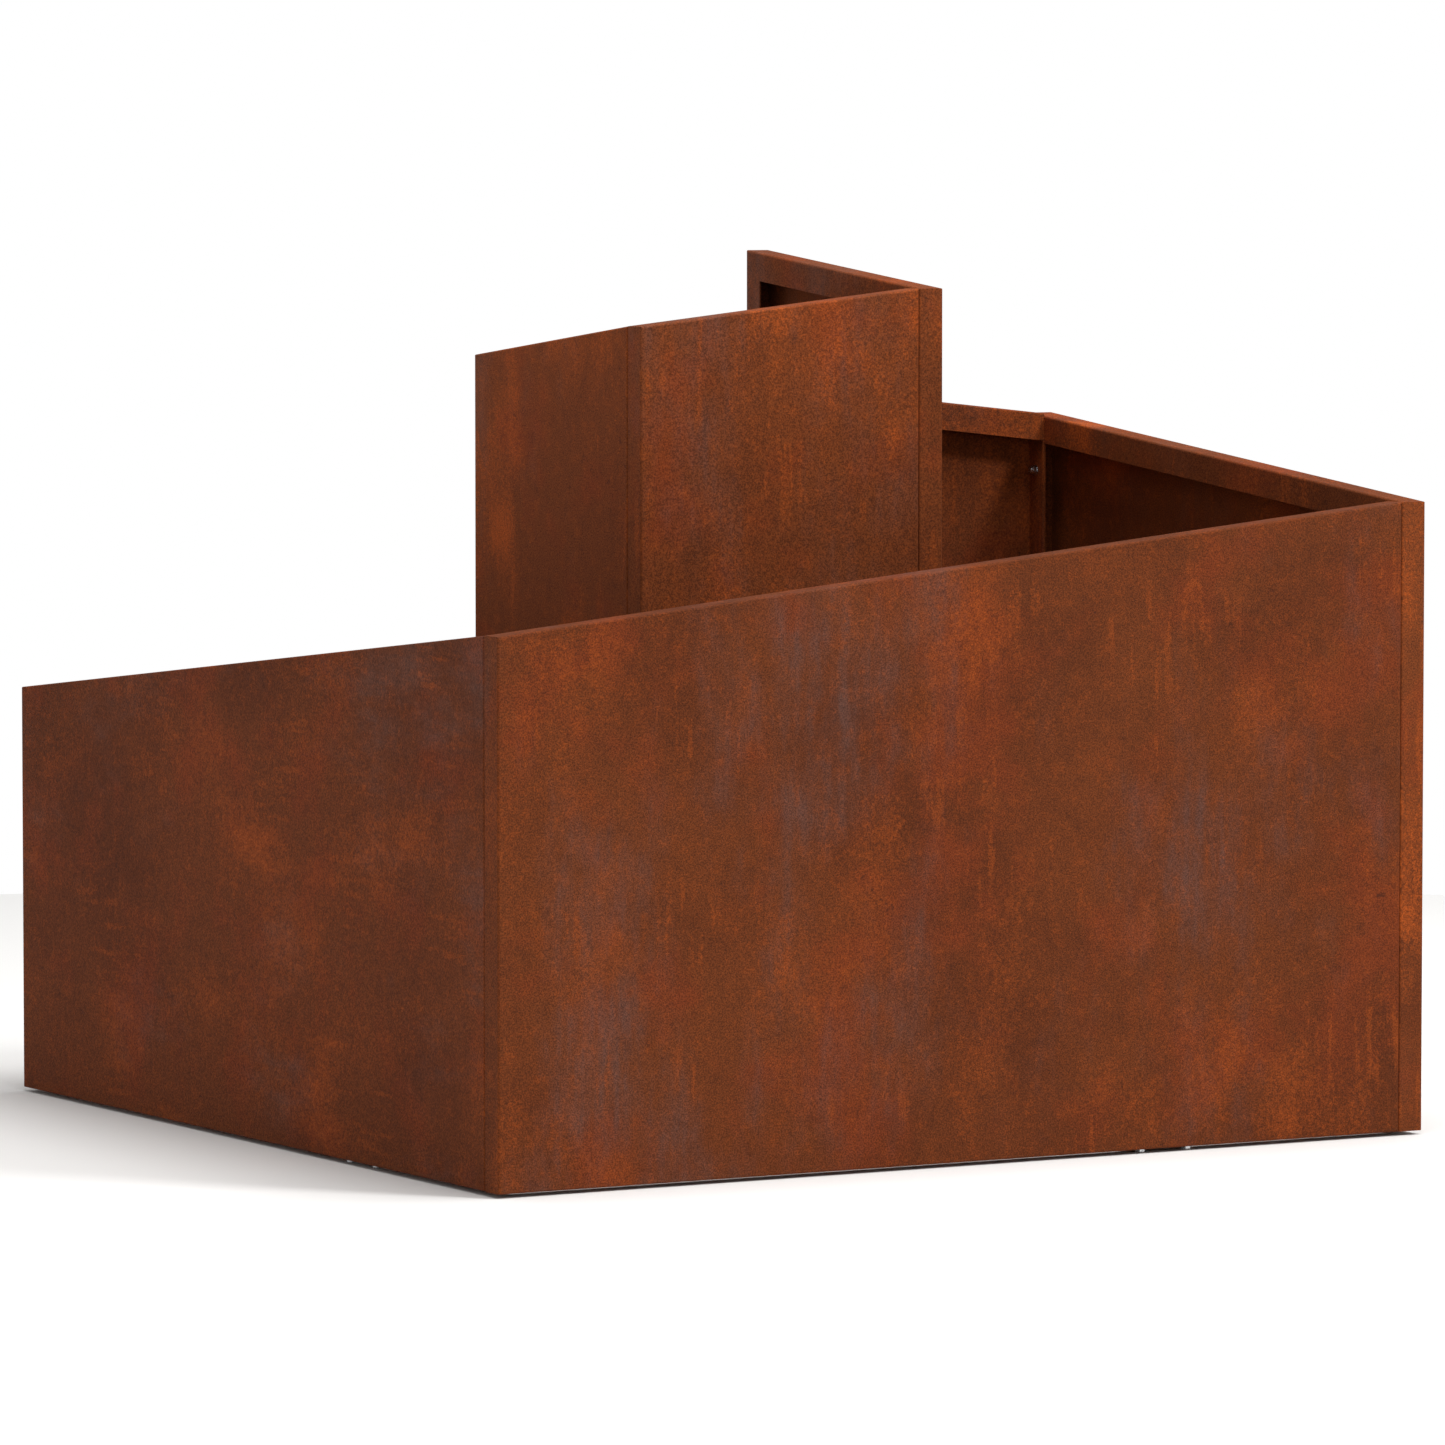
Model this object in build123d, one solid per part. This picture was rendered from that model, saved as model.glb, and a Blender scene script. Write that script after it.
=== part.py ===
from build123d import *
from math import ceil
import os

# Square spiral planter of folded weathering-steel panels, in millimetres.
# The wall starts low at the rear of the right side, runs round the square against the clock
# as seen from above, turns inwards and ends as a square tower in the middle.
# Origin: on the ground under the centre of the square. +Z up, -Y front, -X left.

# Plan and heights
cells = 3                   # the square is this many grid cells wide and deep
cell_x = 300.0              # grid pitch across the front
cell_y = 300.0              # grid pitch from front to rear
low_height = 240.0          # wall height where the spiral starts
rise_per_cell = 30.0        # how much the top edge climbs along one cell

# Folded sheet
sheet = 1.5                 # sheet thickness
bend_radius = 2.0           # outer radius of every fold
fold_depth = 24.0           # width of the top fold, of the corner strips and of all flanges
lip_height = 25.0           # how far the top fold turns down inside

# M5 fasteners, zinc plated
bolt_diameter = 5.0
hole_clearance = 0.5        # a hole is this much wider than the bolt
head_flats = 8.0            # width across flats of head and nut
head_height = 3.5
nut_height = 4.0
washer_diameter = 10.0
washer_thickness = 1.0
washer_clearance = 0.3      # a washer's hole is this much wider than the bolt
bolt_end = 1.5              # how far a bolt stands out of its nut
edge_chamfer = 0.5          # on heads, nuts and bolt ends
corner_ratio = 1.16         # what a head is turned to, over its flats: just outside its corners

# Joints between panels
top_bolt_drop = 52.0        # from the lower of the two top edges to the highest bolt
bottom_bolt_rise = 45.0     # from the bottom edge to the lowest bolt
bolt_pitch = 320.0          # the most that two bolts of a joint stand apart

# Ties across the open bottom
tie_width = 70.0
tie_thickness = 2.0
tie_clearance = 8.0         # between a tie and the tower wall beside it
tie_end_gap = 3.0           # between a tie's end and the inside of a panel's face
tie_bolt_spacing = 46.0
tie_step_slope = 1.0        # rise over run where one tie climbs over the other
tie_crossing_gap = 0.5      # between the two ties where they cross

ground = head_height        # the bottom edges stand this high, on the heads of the tie bolts
inner_radius = bend_radius - sheet
mid_fold = fold_depth / 2   # bolts sit in the middle of the flanges

mostly = 0.9                # an edge runs along an axis if this much of its direction does

WRAP, BUTT = "wrap", "butt"  # an end turned round the corner, or an end with one flange
STANDING = (Align.CENTER, Align.CENTER, Align.MIN)

# The walls in the order that they climb: name, first and last corner on the grid, first and last
# edge along the way between these corners, and how each end is made. An edge of 0 is at the
# corner; an edge of fold_depth leaves room for the strip of the panel that turns the corner.
walls = [
    ("low_end_panel", (3, 2), (3, 3), (0, BUTT), (fold_depth, BUTT)),
    ("rear_panel", (3, 3), (0, 3), (0, WRAP), (fold_depth, BUTT)),
    ("left_panel", (0, 3), (0, 0), (0, WRAP), (fold_depth, BUTT)),
    ("front_panel", (0, 0), (3, 0), (0, WRAP), (fold_depth, BUTT)),
    ("right_panel", (3, 0), (3, 2), (0, WRAP), (0, WRAP)),
    ("divider_panel", (3, 2), (2, 2), (fold_depth, BUTT), (0, BUTT)),
    ("tower_rear_panel", (2, 2), (1, 2), (fold_depth, BUTT), (fold_depth, BUTT)),
    ("tower_left_panel", (1, 2), (1, 1), (0, WRAP), (fold_depth, BUTT)),
    ("tower_front_panel", (1, 1), (2, 1), (0, WRAP), (fold_depth, BUTT)),
    ("tower_right_panel", (2, 1), (2, 2), (0, WRAP), (0, WRAP)),
]


def corner(grid):
    """The place of a grid point, with the centre of the square at the origin."""
    return Vector((grid[0] - cells / 2) * cell_x, (grid[1] - cells / 2) * cell_y, ground)


def cells_between(first, last):
    return abs(last[0] - first[0]) + abs(last[1] - first[1])


def wall_frame(first, last):
    """A place at the first corner with X along the wall and Y pointing inwards."""
    along = (corner(last) - corner(first)).normalized()
    return Location(Plane(origin=corner(first), x_dir=along, z_dir=(0, 0, 1)))


def wall_data():
    """Length, edge heights and place of each wall, by name."""
    data, height = {}, low_height
    for name, first, last, (start, start_kind), (stop, stop_kind) in walls:
        top = height + rise_per_cell * cells_between(first, last)
        data[name] = {
            "length": (corner(last) - corner(first)).length,
            "start": start, "stop": stop,
            "start_kind": start_kind, "stop_kind": stop_kind,
            "low": height, "high": top,
            "frame": wall_frame(first, last),
        }
        height = top
    return data


def wall_outline(points):
    """A closed outline in the wall's side view, standing in the plane of its face."""
    return Plane.XZ * make_face(Polyline(*points, close=True))


def slab(outline, near, far):
    """An outline of the side view, as thick as from near to far behind the face."""
    return Pos(0, near, 0) * extrude(outline, -(far - near))


def tray(wall, inset, radius):
    """The closed outer shape of a panel, or its inside where inset is the sheet's thickness."""
    begin, end = wall["start"] + inset, wall["length"] - wall["stop"] - inset
    near, far = inset, fold_depth - inset
    block = slab(wall_outline([(begin, inset), (end, inset), (end, top_edge(wall, end) - inset),
                               (begin, top_edge(wall, begin) - inset)]), near, far)

    def is_fold(edge):
        middle, along = edge @ 0.5, edge % 0.5
        at_face, at_top = middle.Y < mid_fold, middle.Z > wall["low"] / 2
        if abs(along.Z) > mostly:
            at_start = middle.X < (begin + end) / 2
            kind = wall["start_kind"] if at_start else wall["stop_kind"]
            return at_face or kind == WRAP
        return abs(along.X) > mostly and (at_face or at_top)

    return fillet([edge for edge in block.edges() if is_fold(edge)], radius)


def top_edge(wall, place):
    """Height of the top face at a place along the wall."""
    begin, end = wall["start"], wall["length"] - wall["stop"]
    return wall["low"] + (wall["high"] - wall["low"]) * (place - begin) / (end - begin)


def back_window(wall):
    """What is cut from the back of a panel, so that only its lip and flanges are left there."""
    begin, end = wall["start"], wall["length"] - wall["stop"]
    begin += fold_depth if wall["start_kind"] == WRAP else sheet
    end -= fold_depth if wall["stop_kind"] == WRAP else sheet
    spots = [(begin, sheet), (end, sheet), (end, top_edge(wall, end) - lip_height),
             (begin, top_edge(wall, begin) - lip_height)]
    return slab(wall_outline(spots), fold_depth - 2 * sheet, fold_depth + sheet)


def panel(wall):
    """One folded panel in its own frame."""
    return tray(wall, 0, bend_radius) - tray(wall, sheet, inner_radius) - back_window(wall)


def bolt_heights(top):
    """Heights of a joint's bolts above the bottom edge, evenly spread."""
    reach = top - top_bolt_drop - bottom_bolt_rise
    spans = max(1, ceil(reach / bolt_pitch))
    return [bottom_bolt_rise + reach * i / spans for i in range(spans + 1)]


def joint_data(data):
    """The two panels of each joint, and a place at each of its bolts.

    A place's origin is where the two sheets touch. Its +Z points out of the nut: every bolt has
    its head in the corner pocket of the wrapped panel and its nut on the open side.
    """
    joints = {}

    def add(name, wrapped, other, wall, spot, towards_nut, top):
        places = []
        for height in bolt_heights(top):
            plane = Plane(origin=(*spot, height), x_dir=(0, 0, 1), z_dir=towards_nut)
            places.append(data[wall]["frame"] * Location(plane))
        joints[name] = (wrapped, other, places)

    # the end flange of one panel against the turned-back flange of the next one
    for name, before, after in (
        ("rear_right", "low_end_panel", "rear_panel"),
        ("rear_left", "rear_panel", "left_panel"),
        ("front_left", "left_panel", "front_panel"),
        ("front_right", "front_panel", "right_panel"),
        ("tower_rear_left", "tower_rear_panel", "tower_left_panel"),
        ("tower_front_left", "tower_left_panel", "tower_front_panel"),
        ("tower_front_right", "tower_front_panel", "tower_right_panel"),
    ):
        add(name, after, before, after, (mid_fold, fold_depth), (0, 1, 0), data[after]["low"])

    # where a wall branches off or passes the end of another one
    low_end, divider, rear = (data[n] for n in ("low_end_panel", "divider_panel", "tower_rear_panel"))
    add("low_end", "right_panel", "low_end_panel", "low_end_panel",
        (low_end["start"], mid_fold), (1, 0, 0), low_end["low"])
    add("right_divider", "right_panel", "divider_panel", "divider_panel",
        (divider["start"], mid_fold), (1, 0, 0), divider["low"])
    add("divider_tower", "tower_right_panel", "divider_panel", "divider_panel",
        (divider["length"] - divider["stop"], mid_fold), (-1, 0, 0), divider["high"])
    add("tower_rear_right", "tower_right_panel", "tower_rear_panel", "tower_rear_panel",
        (rear["start"], mid_fold), (1, 0, 0), rear["low"])
    return joints


def hexagon(flats, height):
    """A hexagonal block with chamfered corners, standing on its origin."""
    block = extrude(RegularPolygon(flats / 2, 6, major_radius=False), height)
    trim = Cylinder(corner_ratio * flats / 2, height, align=STANDING)
    return block & chamfer(trim.edges().filter_by(GeomType.CIRCLE), edge_chamfer)


def bolt(grip):
    """A hexagon bolt whose origin is in the middle of its grip, with its head towards -Z."""
    shank = grip + washer_thickness + nut_height + bolt_end
    stud = Cylinder(bolt_diameter / 2, shank, align=STANDING)
    stud = chamfer(stud.edges().group_by(Axis.Z)[-1], edge_chamfer)
    head = Pos(0, 0, -head_height) * hexagon(head_flats, head_height)
    return Pos(0, 0, -grip / 2) * (stud + head)


def washer(grip):
    ring = Circle(washer_diameter / 2) - Circle((bolt_diameter + washer_clearance) / 2)
    return Pos(0, 0, grip / 2) * extrude(ring, washer_thickness)


def nut(grip):
    """A hexagon nut, threaded on the bolt, so its bore is the bolt's own diameter."""
    block = hexagon(head_flats, nut_height)
    block -= Cylinder(bolt_diameter / 2, nut_height, align=STANDING)
    return Pos(0, 0, grip / 2 + washer_thickness) * block


def front_tie_y():
    """Middle of the tie that runs past the front of the tower."""
    return corner((1, 1)).Y - tie_clearance - tie_width / 2


def side_tie_x():
    """Middle of the tie that runs past the right side of the tower."""
    return corner((2, 1)).X + tie_clearance + tie_width / 2


def tie_bolt_places():
    """Tie, panel and bolt places of each tie end, in the middle of the grip, +Z up."""
    middle = ground + (sheet + tie_thickness) / 2
    across = (-tie_bolt_spacing / 2, tie_bolt_spacing / 2)
    ends = []
    for one, x in (("left_panel", corner((0, 0)).X + mid_fold),
                   ("right_panel", corner((3, 0)).X - mid_fold)):
        ends.append(("front_tie", one, [Pos(x, front_tie_y() + d, middle) for d in across]))
    for one, y in (("front_panel", corner((0, 0)).Y + mid_fold),
                   ("divider_panel", corner((0, 2)).Y - mid_fold)):
        ends.append(("side_tie", one, [Pos(side_tie_x() + d, y, middle) for d in across]))
    return ends


def front_tie():
    """A flat strip from the left panel to the right panel."""
    reach = cells * cell_x - 2 * (sheet + tie_end_gap)
    strip = Box(reach, tie_width, tie_thickness, align=STANDING)
    return Pos(0, front_tie_y(), ground + sheet) * strip


def side_tie():
    """A flat strip from the front panel to the divider, stepped over the front tie."""
    begin = corner((0, 0)).Y + sheet + tie_end_gap
    end = corner((0, 2)).Y - sheet - tie_end_gap
    low = ground + sheet
    high = low + tie_thickness + tie_crossing_gap
    run = (high - low) / tie_step_slope
    near = front_tie_y() - tie_width / 2 - tie_thickness
    far = front_tie_y() + tie_width / 2 + tie_thickness
    lower = [(begin, low), (near - run, low), (near, high), (far, high), (far + run, low), (end, low)]
    upper = [(y, z + tie_thickness) for y, z in reversed(lower)]
    outline = Plane.YZ * make_face(Polyline(*lower, *upper, close=True))
    return Pos(side_tie_x() - tie_width / 2, 0, 0) * extrude(outline, tie_width)


def cut_holes(shape, places):
    """Drill a clearance hole at each place, deep enough for both sheets of the joint."""
    depth = 2 * (sheet + tie_thickness)
    for place in places:
        shape -= place * Cylinder((bolt_diameter + hole_clearance) / 2, depth)
    return shape


def fasteners(name, places, grip):
    """The bolts, washers and nuts of one joint, as three groups of separate solids."""
    makers = {"bolts": bolt, "washers": washer, "nuts": nut}
    return {f"{name}_{kind}": [place * make(grip) for place in places]
            for kind, make in makers.items()}


def build():
    """All the pieces by node name, each a list of solids."""
    data = wall_data()
    sheets = {name: wall["frame"] * panel(wall) for name, wall in data.items()}
    sheets.update(front_tie=front_tie(), side_tie=side_tie())
    pieces = {}

    for name, (wrapped, other, places) in joint_data(data).items():
        for one in (wrapped, other):
            sheets[one] = cut_holes(sheets[one], places)
        pieces.update(fasteners(f"{name}_joint", places, 2 * sheet))

    tie_places = []
    for tie, one, places in tie_bolt_places():
        for held in (tie, one):
            sheets[held] = cut_holes(sheets[held], places)
        tie_places += places
    pieces.update(fasteners("tie", tie_places, sheet + tie_thickness))
    return {**{name: [shape] for name, shape in sheets.items()}, **pieces}


os.makedirs("parts", exist_ok=True)
for node, shapes in build().items():
    solids = [solid for shape in shapes for solid in shape.solids()]
    export_step(solids[0] if len(solids) == 1 else Compound(solids), f"parts/{node}.step")
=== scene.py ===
import math

import bmesh
import bpy
from bpy.props import FloatProperty, FloatVectorProperty, PointerProperty
from bpy.types import Operator, Panel, PropertyGroup
from mathutils import Matrix, Vector


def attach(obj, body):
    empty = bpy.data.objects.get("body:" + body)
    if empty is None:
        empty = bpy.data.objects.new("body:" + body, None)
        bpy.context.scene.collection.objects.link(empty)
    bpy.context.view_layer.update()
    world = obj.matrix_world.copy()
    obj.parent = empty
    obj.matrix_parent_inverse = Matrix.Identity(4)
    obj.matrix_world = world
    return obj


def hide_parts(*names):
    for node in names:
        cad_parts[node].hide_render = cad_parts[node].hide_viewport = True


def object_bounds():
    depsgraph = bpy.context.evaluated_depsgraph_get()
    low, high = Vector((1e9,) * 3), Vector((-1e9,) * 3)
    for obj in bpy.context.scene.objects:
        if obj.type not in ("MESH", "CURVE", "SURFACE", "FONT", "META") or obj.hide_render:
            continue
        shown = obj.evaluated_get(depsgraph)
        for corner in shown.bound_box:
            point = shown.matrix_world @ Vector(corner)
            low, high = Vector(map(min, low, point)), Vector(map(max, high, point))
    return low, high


bl_info = {
    "name": "Spiral planter finish",
    "version": (1, 0, 0),
    "blender": (4, 5, 0),
    "location": "3D View > Sidebar > Planter",
    "description": "Rusted skin, detailed fasteners and a plain studio for the folded planter",
    "category": "Object",
}

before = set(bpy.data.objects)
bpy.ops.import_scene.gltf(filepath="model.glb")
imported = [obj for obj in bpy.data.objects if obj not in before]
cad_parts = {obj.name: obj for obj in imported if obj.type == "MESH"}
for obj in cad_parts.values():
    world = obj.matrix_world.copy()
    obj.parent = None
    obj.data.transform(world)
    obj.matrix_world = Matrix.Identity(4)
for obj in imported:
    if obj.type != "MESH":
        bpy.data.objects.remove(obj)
CAD_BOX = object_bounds()
BODY = "root"
MM = 0.001

OUTER_PANELS = ("low_end_panel", "rear_panel", "left_panel", "front_panel", "right_panel",
                "divider_panel")
TOWER_PANELS = ("tower_rear_panel", "tower_left_panel", "tower_front_panel", "tower_right_panel")
TIES = ("front_tie", "side_tie")
STEEL_SLOT = "weathering_steel"

# How much orange bloom and grey scale a panel shows, and how light it is, against an even one
EVEN = (1.0, 1.0, 1.0)
SHARES = {
    "right_panel": (1.5, 0.3, 1.2),
    "left_panel": (0.9, 0.6, 1.0),
    "front_panel": (0.9, 1.1, 1.0),
    "divider_panel": (1.0, 0.5, 1.1),
    "tower_front_panel": (1.3, 0.7, 1.3),
    "tower_left_panel": (1.3, 0.3, 1.3),
    "tower_right_panel": (1.1, 0.6, 1.25),
    "tower_rear_panel": (1.0, 0.8, 1.1),
}
# Rain runs down a standing panel, along Z; these pieces have their streaks along X or Y instead
STREAK_AXES = {"left_panel": 1, "side_tie": 1, "front_tie": 0}
SEED_STEP = 3.7             # moves each piece's pattern away from the last one's

# M5 fasteners
FLATS = 8.0 * MM            # across the flats of a head or nut
HEAD = 3.5 * MM             # height of a head
SHANK = 2.5 * MM            # radius of a bolt
WASHER = 5.0 * MM           # radius of a washer
CHAMFER_REACH = 3.75 * MM   # radius of the round face that the chamfer leaves on a hexagon
THREAD_PITCH = 0.8 * MM
THREAD_DEPTH = 0.45 * MM
THREAD_SHOWN = 2.4 * MM     # the threads further in are hidden in the nut
THREAD_RINGS = 6            # rings of points in one turn of the thread
TIP = 0.4 * MM              # the last length of a bolt, where its thread tapers off
TIP_FACE = 1.55 * MM        # radius of a bolt's end face
TURN_STEPS = 24             # round a bolt; a multiple of six puts points on the hexagon's corners
CHAMFER_ANGLE = math.radians(30)
CHAMFER_STEPS = (0.0, 0.15 * MM, 0.3 * MM, 0.5 * MM)
SHARP_ANGLE = math.radians(25)      # edges sharper than this stay crisp
ZINC_FINISH = "bright_zinc_plating"

# Stage, in metres
MIDDLE = Vector((0, 0, 0.35))       # what the lamps point at
KEY_PLACE, KEY_SIZE = Vector((3.3, -4.9, 5.7)), 1.4
TOP_PLACE, TOP_SIZE = Vector((0.2, -0.6, 4.2)), 2.6
AIM_SHIFT = Vector((10.7, -8.8, -33.7)) * MM    # from the middle of the box to the camera's aim


def srgb(code, alpha=None):
    """A colour written as #rrggbb, as the linear values that a shader takes."""
    parts = [int(code[i:i + 2], 16) / 255 for i in (1, 3, 5)]
    linear = [p / 12.92 if p <= 0.04045 else ((p + 0.055) / 1.055) ** 2.4 for p in parts]
    return tuple(linear if alpha is None else linear + [alpha])


def colour(name, code, description):
    return FloatVectorProperty(name=name, description=description, subtype="COLOR", size=3,
                               min=0.0, max=1.0, default=srgb(code))


def length(name, millimetres, description):
    return FloatProperty(name=name, description=description, unit="LENGTH", precision=4,
                         min=0.00001, default=millimetres * MM)


# ---------------------------------------------------------------- settings

class PLANTER_PG_skin(PropertyGroup):
    """The rusted skin of the weathering steel."""
    brown: colour("Rust brown", "#633013", "The even rust that covers most of a sheet")
    deep_brown: colour("Deep brown", "#53260e", "Older, darker rust in broad clouds")
    red_brown: colour("Red brown", "#702f12", "Warm rust in soft patches")
    orange: colour("Orange bloom", "#8f4114", "Fresh rust that blooms through in ragged patches")
    slate: colour("Slate scale", "#583a31", "Dull violet-grey mill scale that the rust left bare")
    stain: colour("Dark stain", "#3a1c10", "Small stains and pits")
    cloud_size: length("Clouds", 240.0, "Width of the broad light and dark clouds")
    warm_size: length("Warm patches", 110.0, "Width of the soft red-brown patches")
    scale_size: length("Scale patches", 130.0, "Width of the grey patches, which are taller")
    bloom_size: length("Bloom patches", 85.0, "Width of the orange patches")
    streak_width: length("Streaks", 9.0, "Width of the runs that rain left down a sheet")
    mottle_size: length("Mottling", 16.0, "Width of the small light and dark mottles")
    stain_size: length("Stains", 9.0, "Width of the small dark stains")
    ragged_size: length("Ragged edges", 3.5, "Size of the crumbs at the edge of a patch")
    grain_size: length("Grain", 1.3, "Grit of the rust, drawn coarser than the real 0.3 to 0.5 mm")
    relief: length("Relief", 0.25, "Height of the grit")


class PLANTER_PG_zinc(PropertyGroup):
    """The zinc plating of the fasteners."""
    bright: colour("Bright zinc", "#d9dbdd", "Fresh plating")
    dull: colour("Dull zinc", "#a6a9ad", "Plating that has begun to chalk")
    mottle_size: length("Mottling", 1.2, "Width of the dull patches")


class PLANTER_PG_stage(PropertyGroup):
    """The floor, the lights and the camera."""
    floor_colour: colour("Floor", "#f4f3f1", "The pale floor")
    floor_radius: length("Floor radius", 2300.0, "The floor is a disc that meets the pale sky")
    key_power: FloatProperty(name="Key light", description="The large soft lamp in front",
                             unit="POWER", default=290.0)
    top_power: FloatProperty(name="Top light", description="The soft lamp overhead",
                             unit="POWER", default=150.0)
    fill: FloatProperty(name="Fill", description="Strength of the sky overhead", default=0.35)
    distance: FloatProperty(name="Camera distance", description="From where the camera aims",
                            unit="LENGTH", default=7.355)
    azimuth: FloatProperty(name="Azimuth", description="Turn of the camera left of the front",
                           subtype="ANGLE", default=math.radians(29.82))
    elevation: FloatProperty(name="Elevation", description="How far the camera looks down",
                             subtype="ANGLE", default=math.radians(3.92))
    lens: FloatProperty(name="Lens", description="Focal length in mm, on a 36 mm sensor",
                        default=209.35)


# ---------------------------------------------------------------- materials

def add(tree, kind, inputs=None, **settings):
    """Add a node with its settings; an input takes a value, or a socket to link from."""
    node = tree.nodes.new(kind)
    for name, value in settings.items():
        setattr(node, name, value)
    for name, value in (inputs or {}).items():
        if isinstance(value, bpy.types.NodeSocket):
            tree.links.new(value, node.inputs[name])
        else:
            node.inputs[name].default_value = value
    return node


def new_material(name):
    material = bpy.data.materials.new(name)
    material.use_nodes = True
    material.node_tree.nodes.clear()
    return material, material.node_tree


def weathering_steel(name, settings, seed, streak_axis, bloom_share, scale_share, lightness):
    """Weathering steel, rusted outdoors to its stable patina.

    To the eye it is matt and cloudy: even brown rust with darker and warmer clouds, violet-grey
    patches of mill scale that rain has drawn into streaks, ragged orange bloom, a few dark stains
    and a fine grit all over.
    """
    material, tree = new_material(name)
    place = add(tree, "ShaderNodeTexCoord").outputs["Object"]
    even, drawn, streaky = (tuple(squeeze if axis == streak_axis else 1.0 for axis in range(3))
                            for squeeze in (1.0, 1 / 2, 1 / 9))

    # Each pattern is cloudy noise: the width of its clouds, how many finer sizes of cloud they
    # hold, how strong those are, and how the clouds are drawn out along the streaks
    patterns = {
        "crumbs": (settings.ragged_size, 5, 0.75, even),
        "grit": (settings.grain_size, 2, 0.6, even),
        "deep": (settings.cloud_size, 4, 0.55, even),
        "warm": (settings.warm_size, 5, 0.6, even),
        "scale": (settings.scale_size, 5, 0.66, drawn),
        "streaks": (settings.streak_width, 3, 0.5, streaky),
        "bloom": (settings.bloom_size, 6, 0.62, drawn),
        "bloom_area": (settings.cloud_size, 3, 0.55, even),
        "runs": (settings.streak_width, 2, 0.5, streaky),
        "runs_area": (settings.warm_size, 3, 0.55, even),
        "mottle": (settings.mottle_size, 6, 0.75, even),
        "stains": (settings.stain_size, 3, 0.7, even),
        "stains_area": (settings.warm_size, 3, 0.55, even)}
    cloud = {}
    for turn, (pattern, (width, detail, strength, stretch)) in enumerate(patterns.items(), 1):
        spot = add(tree, "ShaderNodeMapping", {
            "Vector": place, "Scale": stretch,
            "Location": (seed + turn * 1.7, seed - turn * 2.3, turn * 3.1)})
        cloud[pattern] = add(tree, "ShaderNodeTexNoise", {
            "Vector": spot.outputs["Vector"], "Scale": 1 / width, "Detail": detail,
            "Roughness": strength}).outputs["Fac"]

    # Crumbs on either side of nought make the edges of five patterns ragged
    crumbs = add(tree, "ShaderNodeMapRange", {
        "Value": cloud["crumbs"], "To Min": -0.3, "To Max": 0.3}, clamp=False).outputs["Result"]
    for pattern in ("streaks", "bloom", "runs", "mottle", "stains"):
        cloud[pattern] = add(tree, "ShaderNodeMath", {0: cloud[pattern], 1: crumbs}).outputs[0]

    # How much of each thing shows: it starts at one value of its pattern and is full at another,
    # and it has a least and a most. Slate shows where streaks and scale meet.
    amounts = {
        "deep": ("deep", 0.42, 0.66, 0.0, 0.8),
        "warm": ("warm", 0.48, 0.68, 0.0, 0.7),
        "scale": ("scale", 0.46, 0.74, 0.0, 1.0),
        "streaks": ("streaks", 0.35, 0.65, 0.35 * 0.85 * scale_share, 0.85 * scale_share),
        "bloom": ("bloom", 0.46, 0.8, 0.0, 1.0),
        "bloom_area": ("bloom_area", 0.4, 0.6, 0.0, 0.9 * bloom_share),
        "runs": ("runs", 0.56, 0.7, 0.0, 0.4),
        "runs_area": ("runs_area", 0.5, 0.62, 0.0, 1.0),
        "light_mottle": ("mottle", 0.5, 0.72, 0.0, 0.3),
        "dark_mottle": ("mottle", 0.46, 0.28, 0.0, 0.3),
        "stains": ("stains", 0.62, 0.74, 0.0, 0.7),
        "stains_area": ("stains_area", 0.54, 0.64, 0.0, 1.0),
        "speckle": ("grit", 0.3, 0.7, 0.25, 0.75)}
    shown = {}
    for amount, (pattern, begin, full, least, most) in amounts.items():
        shown[amount] = add(tree, "ShaderNodeMapRange", {
            "Value": cloud[pattern], "From Min": begin, "From Max": full, "To Min": least,
            "To Max": most}, interpolation_type="SMOOTHSTEP").outputs["Result"]
    for amount, area in (("streaks", "scale"), ("bloom", "bloom_area"), ("runs", "runs_area"),
                         ("stains", "stains_area")):
        shown[amount] = add(tree, "ShaderNodeMath", {0: shown[amount], 1: shown[area]},
                            operation="MULTIPLY").outputs[0]

    skin = (*settings.brown, 1.0)
    for layer, amount in ((settings.deep_brown, "deep"), (settings.red_brown, "warm"),
                          (settings.slate, "streaks"), (settings.orange, "bloom"),
                          (settings.orange, "runs"), (settings.orange, "light_mottle"),
                          (settings.stain, "dark_mottle"), (settings.stain, "stains")):
        skin = add(tree, "ShaderNodeMix", {"Factor": shown[amount], 6: skin, 7: (*layer, 1.0)},
                   data_type="RGBA").outputs[2]
    speckle = add(tree, "ShaderNodeCombineColor", {
        channel: shown["speckle"] for channel in ("Red", "Green", "Blue")}).outputs["Color"]
    skin = add(tree, "ShaderNodeMix", {"Factor": 0.8, 6: skin, 7: speckle}, data_type="RGBA",
               blend_type="OVERLAY").outputs[2]
    skin = add(tree, "ShaderNodeHueSaturation", {
        "Color": skin, "Value": lightness}).outputs["Color"]

    # Bare scale is a little smoother than rust, and stains are pits in it
    roughness = add(tree, "ShaderNodeMapRange", {
        "Value": shown["scale"], "To Min": 0.86, "To Max": 0.68},
        interpolation_type="SMOOTHSTEP").outputs["Result"]
    height = cloud["grit"]
    for part, share in ((crumbs, 1.5), (shown["stains"], -1.0)):
        height = add(tree, "ShaderNodeMath", {0: part, 1: share, 2: height},
                     operation="MULTIPLY_ADD").outputs[0]
    bump = add(tree, "ShaderNodeBump", {"Height": height, "Strength": 0.5,
                                        "Distance": settings.relief}).outputs["Normal"]
    shader = add(tree, "ShaderNodeBsdfPrincipled", {
        "Base Color": skin, "Roughness": roughness, "Normal": bump, "Metallic": 0.0,
        "Specular IOR Level": 0.15})
    add(tree, "ShaderNodeOutputMaterial", {"Surface": shader.outputs["BSDF"]})
    return material


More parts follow.
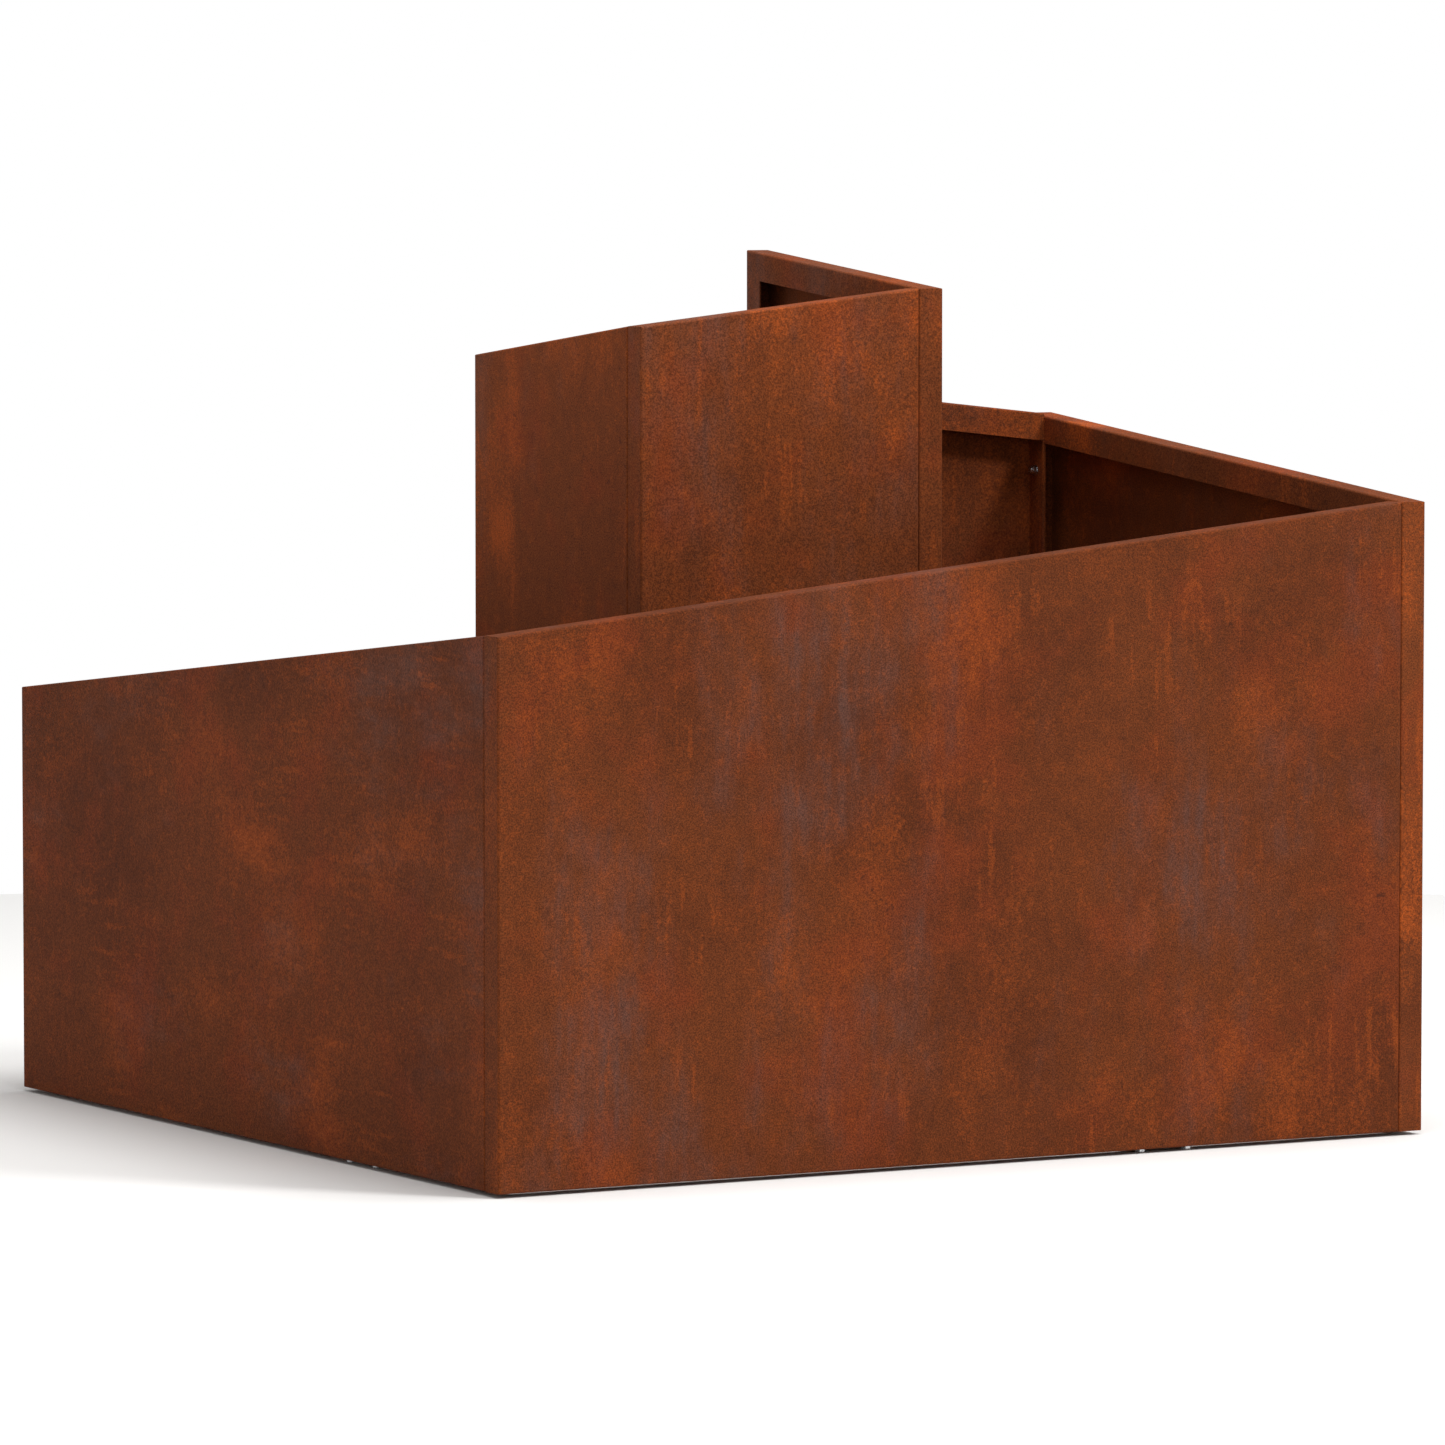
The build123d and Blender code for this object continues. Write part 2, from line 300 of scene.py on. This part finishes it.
def bright_zinc_plating(settings):
    """Bright zinc plate on steel: a slightly blue metal that glints, with a chalky mottling."""
    material, tree = new_material(ZINC_FINISH)
    place = add(tree, "ShaderNodeTexCoord").outputs["Object"]
    mottle = add(tree, "ShaderNodeTexNoise", {
        "Vector": place, "Scale": 0.5 / settings.mottle_size, "Detail": 5.0,
        "Roughness": 0.6}).outputs["Fac"]
    chalk = add(tree, "ShaderNodeMapRange", {"Value": mottle, "From Min": 0.4, "From Max": 0.7},
                interpolation_type="SMOOTHSTEP").outputs["Result"]
    plate = add(tree, "ShaderNodeMix", {
        "Factor": chalk, 6: (*settings.bright, 1.0), 7: (*settings.dull, 1.0)},
        data_type="RGBA").outputs[2]
    roughness = add(tree, "ShaderNodeMapRange", {
        "Value": chalk, "To Min": 0.14, "To Max": 0.36}).outputs["Result"]
    bump = add(tree, "ShaderNodeBump", {
        "Height": mottle, "Strength": 0.15, "Distance": 0.05 * MM}).outputs["Normal"]
    shader = add(tree, "ShaderNodeBsdfPrincipled", {
        "Base Color": plate, "Roughness": roughness, "Metallic": 1.0, "Normal": bump})
    add(tree, "ShaderNodeOutputMaterial", {"Surface": shader.outputs["BSDF"]})
    return material


def floor_paint(settings):
    """Matt pale studio paint, very slightly uneven in its gloss."""
    material, tree = new_material("studio_floor")
    place = add(tree, "ShaderNodeTexCoord").outputs["Object"]
    cloud = add(tree, "ShaderNodeTexNoise", {
        "Vector": place, "Scale": 0.8, "Detail": 2.0}).outputs["Fac"]
    roughness = add(tree, "ShaderNodeMapRange", {
        "Value": cloud, "To Min": 0.85, "To Max": 0.95}).outputs["Result"]
    shader = add(tree, "ShaderNodeBsdfPrincipled", {
        "Base Color": (*settings.floor_colour, 1.0), "Roughness": roughness})
    add(tree, "ShaderNodeOutputMaterial", {"Surface": shader.outputs["BSDF"]})
    return material


def finish_panels(context, names, first):
    """Give carried-over panels or ties a skin each, the first one with the seed numbered first."""
    for number, name in enumerate(names, first):
        material = weathering_steel(
            STEEL_SLOT + "_" + name, context.scene.planter_skin, SEED_STEP * number,
            STREAK_AXES.get(name, 2), *SHARES.get(name, EVEN))
        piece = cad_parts[name]
        piece.data.materials.clear()
        piece.data.materials.append(material)


# ---------------------------------------------------------------- fasteners

def solids_of(mesh):
    """The separate solids of a mesh, each as a list of its points."""
    shell = bmesh.new()
    shell.from_mesh(mesh)
    bmesh.ops.remove_doubles(shell, verts=shell.verts, dist=0.001 * MM)
    seen, solids = set(), []
    for start in shell.verts:
        if start in seen:
            continue
        seen.add(start)
        waiting, solid = [start], []
        while waiting:
            vert = waiting.pop()
            solid.append(vert.co.copy())
            for edge in vert.link_edges:
                other = edge.other_vert(vert)
                if other not in seen:
                    seen.add(other)
                    waiting.append(other)
        solids.append(solid)
    shell.free()
    return solids


def seat(points, pick):
    """Where a fastener sits: a matrix at its low end with Z along its axis, its length, its axis.

    The axis is the longest way of a bolt and the shortest way of a nut or washer. A hexagon has
    its corners up and down, or left and right where it lies flat.
    """
    low = Vector([min(p[i] for p in points) for i in range(3)])
    high = Vector([max(p[i] for p in points) for i in range(3)])
    size = high - low
    axis = pick(range(3), key=lambda i: size[i])
    along, across = Vector((0, 0, 0)), Vector((0, 0, 1)) if axis != 2 else Vector((1, 0, 0))
    along[axis] = 1.0
    foot = (low + high) / 2
    foot[axis] = low[axis]
    turn = Matrix((across, along.cross(across), along)).transposed().to_4x4()
    return Matrix.Translation(foot) @ turn, size[axis], axis


def turned(shell, loop, place, hollow=False):
    """Add a turned solid from the (height, radius) pairs of its section.

    A radius is a number, or a rule that gives it for an angle. A hollow solid has a section that
    closes on itself; any other is closed by its two end faces.
    """
    rings = []
    for height, radius in loop:
        ring = []
        for step in range(TURN_STEPS):
            angle = 2 * math.pi * step / TURN_STEPS
            reach = radius(angle) if callable(radius) else radius
            ring.append(shell.verts.new(
                place @ Vector((reach * math.cos(angle), reach * math.sin(angle), height))))
        rings.append(ring)
    for below, above in zip(rings, rings[1:] + rings[:1] if hollow else rings[1:]):
        for i in range(TURN_STEPS):
            j = (i + 1) % TURN_STEPS
            shell.faces.new((below[i], below[j], above[j], above[i]))
    if not hollow:
        shell.faces.new(rings[0][::-1])
        shell.faces.new(rings[-1])


def hexagon(cone):
    """Reach of a hexagon with a corner at angle 0, held inside a cone's radius."""
    side = math.pi / 3

    def reach(angle):
        return min(FLATS / 2 / math.cos(angle % side - side / 2), cone)
    return reach


def thread(major, height):
    """Reach of a screw thread's flank at a height."""
    def reach(angle):
        phase = (height / THREAD_PITCH - angle / (2 * math.pi)) % 1.0
        return major - THREAD_DEPTH * abs(2 * phase - 1)
    return reach


def chamfer(height, rising):
    """Section of a chamfered hexagon's end at a height, in the order in which the section runs."""
    way = 1 if rising else -1
    steps = [(height + way * step, hexagon(CHAMFER_REACH + step / math.tan(CHAMFER_ANGLE)))
             for step in CHAMFER_STEPS]
    return steps if rising else steps[::-1]


def bolt_section(total):
    """From the face of the head, past the shank, to the threaded end."""
    start = total - THREAD_SHOWN
    rings = int(THREAD_SHOWN / THREAD_PITCH * THREAD_RINGS)
    loop = chamfer(0.0, True) + chamfer(HEAD, False) + [(HEAD, SHANK), (start, SHANK)]
    for ring in range(1, rings + 1):
        height = start + THREAD_SHOWN * ring / rings
        taper = max(0.0, height - (total - TIP))
        loop.append((height, thread(SHANK - taper, height)))
    return loop + [(total, TIP_FACE)]


def nut_section(total):
    """Round the outside and back through the bore, which is countersunk at both faces."""
    sink = 0.3 * MM
    return ([(0.0, SHANK + sink)] + chamfer(0.0, True) + chamfer(total, False)
            + [(total, SHANK + sink), (total - sink, SHANK), (sink, SHANK)])


def washer_section(total):
    """A stamped washer: its edges are rolled over on one side and nearly sharp on the other."""
    inner, roll, blunt, lead = SHANK + 0.15 * MM, 0.25 * MM, 0.05 * MM, 0.1 * MM
    return [(0.0, inner), (0.0, WASHER - blunt), (blunt, WASHER), (total - roll, WASHER),
            (total - 0.3 * roll, WASHER - 0.3 * roll), (total, WASHER - roll),
            (total, inner + lead), (total - lead, inner)]


def heavy_end(points, middle, axis):
    """Which end of a bolt has its head: above 0 for the high end of its axis."""
    def off_axis(point):
        gap = point - middle
        gap[axis] = 0.0
        return gap.length
    return sum(p[axis] - middle[axis] for p in points if off_axis(p) > FLATS / 2)


def detail_fasteners(context, kind, section, pick, hollow):
    """Make detailed solids in the place of every carried-over node of one kind of fastener."""
    nodes = sorted(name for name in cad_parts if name.endswith(kind))
    if not nodes:
        raise RuntimeError("the model has no node whose name ends in " + kind)
    material = (bpy.data.materials.get(ZINC_FINISH)
                or bright_zinc_plating(context.scene.planter_zinc))
    for node in nodes:
        shell = bmesh.new()
        for points in solids_of(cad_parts[node].data):
            place, total, axis = seat(points, pick)
            middle = place @ Vector((0, 0, total / 2))
            if pick is max and heavy_end(points, middle, axis) > 0:
                place @= Matrix.Translation((0, 0, total)) @ Matrix.Rotation(math.pi, 4, "X")
            turned(shell, section(total), place, hollow)
        bmesh.ops.recalc_face_normals(shell, faces=shell.faces)
        mesh = bpy.data.meshes.new(node + "_detailed")
        shell.to_mesh(mesh)
        shell.free()
        mesh.materials.append(material)
        mesh.shade_smooth()
        mesh.set_sharp_from_angle(angle=SHARP_ANGLE)
        piece = bpy.data.objects.new(node + "_detailed", mesh)
        context.scene.collection.objects.link(piece)
        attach(piece, BODY)
        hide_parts(node)


# ---------------------------------------------------------------- stage

def make_floor(settings):
    """A disc under the planter."""
    shell = bmesh.new()
    bmesh.ops.create_circle(shell, cap_ends=True, segments=96, radius=settings.floor_radius)
    mesh = bpy.data.meshes.new("studio_floor")
    shell.to_mesh(mesh)
    shell.free()
    mesh.materials.append(floor_paint(settings))
    floor = bpy.data.objects.new("studio_floor", mesh)
    bpy.context.scene.collection.objects.link(floor)
    floor.location.z = CAD_BOX[0][2]


def aim(thing, target):
    thing.rotation_euler = (target - thing.location).to_track_quat("-Z", "Y").to_euler()


def soft_lamp(name, place, size, power):
    """A square white lamp that points at the middle of the planter."""
    lamp = bpy.data.lights.new(name, "AREA")
    lamp.size = size
    lamp.energy = power
    thing = bpy.data.objects.new(name, lamp)
    bpy.context.scene.collection.objects.link(thing)
    thing.location = place
    aim(thing, MIDDLE)


def make_lights(settings):
    """A soft lamp in front to the right, one overhead, and a sky that is white at the horizon."""
    soft_lamp("key_lamp", KEY_PLACE, KEY_SIZE, settings.key_power)
    soft_lamp("top_lamp", TOP_PLACE, TOP_SIZE, settings.top_power)
    world = bpy.data.worlds.new("studio_sky")
    bpy.context.scene.world = world
    world.use_nodes = True
    sky = world.node_tree
    background = sky.nodes["Background"]
    background.inputs["Color"].default_value = srgb("#ffffff", 1.0)
    direction = add(sky, "ShaderNodeTexCoord").outputs["Generated"]
    rise = add(sky, "ShaderNodeSeparateXYZ", {"Vector": direction}).outputs["Z"]
    level = add(sky, "ShaderNodeMapRange", {
        "Value": rise, "From Min": 0.1, "From Max": 0.3, "To Min": 1.0, "To Max": settings.fill},
        interpolation_type="SMOOTHSTEP").outputs["Result"]
    sky.links.new(level, background.inputs["Strength"])


def make_camera(settings):
    """A long lens, low and to the left of the front."""
    camera = bpy.data.cameras.new("camera")
    camera.lens = settings.lens
    camera.sensor_width = 36.0
    camera.clip_end = 50.0
    thing = bpy.data.objects.new("camera", camera)
    bpy.context.scene.collection.objects.link(thing)
    low, high = (Vector(corner) for corner in CAD_BOX)
    target = (low + high) / 2 + AIM_SHIFT
    flat = math.cos(settings.elevation)
    thing.location = target + settings.distance * Vector((
        -flat * math.sin(settings.azimuth), -flat * math.cos(settings.azimuth),
        math.sin(settings.elevation)))
    aim(thing, target)
    bpy.context.scene.camera = thing


# ---------------------------------------------------------------- operators

class PLANTER_OT_outer_panels(Operator):
    """Give the panels of the outer wall and the divider their rusted skin."""
    bl_idname = "planter.outer_panels"
    bl_label = "Outer panels"

    def execute(self, context):
        finish_panels(context, OUTER_PANELS, 0)
        return {"FINISHED"}


class PLANTER_OT_tower_panels(Operator):
    """Give the four panels of the tower their rusted skin."""
    bl_idname = "planter.tower_panels"
    bl_label = "Tower panels"

    def execute(self, context):
        finish_panels(context, TOWER_PANELS, len(OUTER_PANELS))
        return {"FINISHED"}


class PLANTER_OT_ties(Operator):
    """Give the two ties across the bottom their rusted skin."""
    bl_idname = "planter.ties"
    bl_label = "Ties"

    def execute(self, context):
        finish_panels(context, TIES, len(OUTER_PANELS) + len(TOWER_PANELS))
        return {"FINISHED"}


class PLANTER_OT_bolts(Operator):
    """Make the hexagon bolts, with the threads that show past their nuts."""
    bl_idname = "planter.bolts"
    bl_label = "Bolts"

    def execute(self, context):
        detail_fasteners(context, "_bolts", bolt_section, max, False)
        return {"FINISHED"}


class PLANTER_OT_washers(Operator):
    """Make the stamped washers under the nuts."""
    bl_idname = "planter.washers"
    bl_label = "Washers"

    def execute(self, context):
        detail_fasteners(context, "_washers", washer_section, min, True)
        return {"FINISHED"}


class PLANTER_OT_nuts(Operator):
    """Make the chamfered hexagon nuts."""
    bl_idname = "planter.nuts"
    bl_label = "Nuts"

    def execute(self, context):
        detail_fasteners(context, "_nuts", nut_section, min, True)
        return {"FINISHED"}


class PLANTER_OT_stage(Operator):
    """Make the floor, the lights and the camera."""
    bl_idname = "planter.stage"
    bl_label = "Stage"

    def execute(self, context):
        settings = context.scene.planter_stage
        make_floor(settings)
        make_lights(settings)
        make_camera(settings)
        # Shows each colour as it is given, and lets the pale surroundings reach white
        context.scene.view_settings.view_transform = "Standard"
        return {"FINISHED"}


class PLANTER_PT_sidebar(Panel):
    """The planter's steps, in the order in which they are made."""
    bl_label = "Spiral planter"
    bl_idname = "PLANTER_PT_sidebar"
    bl_space_type = "VIEW_3D"
    bl_region_type = "UI"
    bl_category = "Planter"

    def draw(self, context):
        for operator in OPERATORS:
            self.layout.operator(operator.bl_idname)


OPERATORS = (PLANTER_OT_outer_panels, PLANTER_OT_tower_panels, PLANTER_OT_ties,
             PLANTER_OT_bolts, PLANTER_OT_washers, PLANTER_OT_nuts, PLANTER_OT_stage)
SETTINGS = {"planter_skin": PLANTER_PG_skin, "planter_zinc": PLANTER_PG_zinc,
            "planter_stage": PLANTER_PG_stage}


def register():
    for group in SETTINGS.values():
        bpy.utils.register_class(group)
    for name, group in SETTINGS.items():
        setattr(bpy.types.Scene, name, PointerProperty(type=group))
    for operator in OPERATORS:
        bpy.utils.register_class(operator)
    bpy.utils.register_class(PLANTER_PT_sidebar)


def unregister():
    bpy.utils.unregister_class(PLANTER_PT_sidebar)
    for operator in reversed(OPERATORS):
        bpy.utils.unregister_class(operator)
    for name, group in SETTINGS.items():
        delattr(bpy.types.Scene, name)
        bpy.utils.unregister_class(group)


def main():
    register()
    bpy.ops.planter.outer_panels()
    bpy.ops.planter.tower_panels()
    bpy.ops.planter.ties()
    bpy.ops.planter.bolts()
    bpy.ops.planter.washers()
    bpy.ops.planter.nuts()
    bpy.ops.planter.stage()


if __name__ == "__main__":
    main()
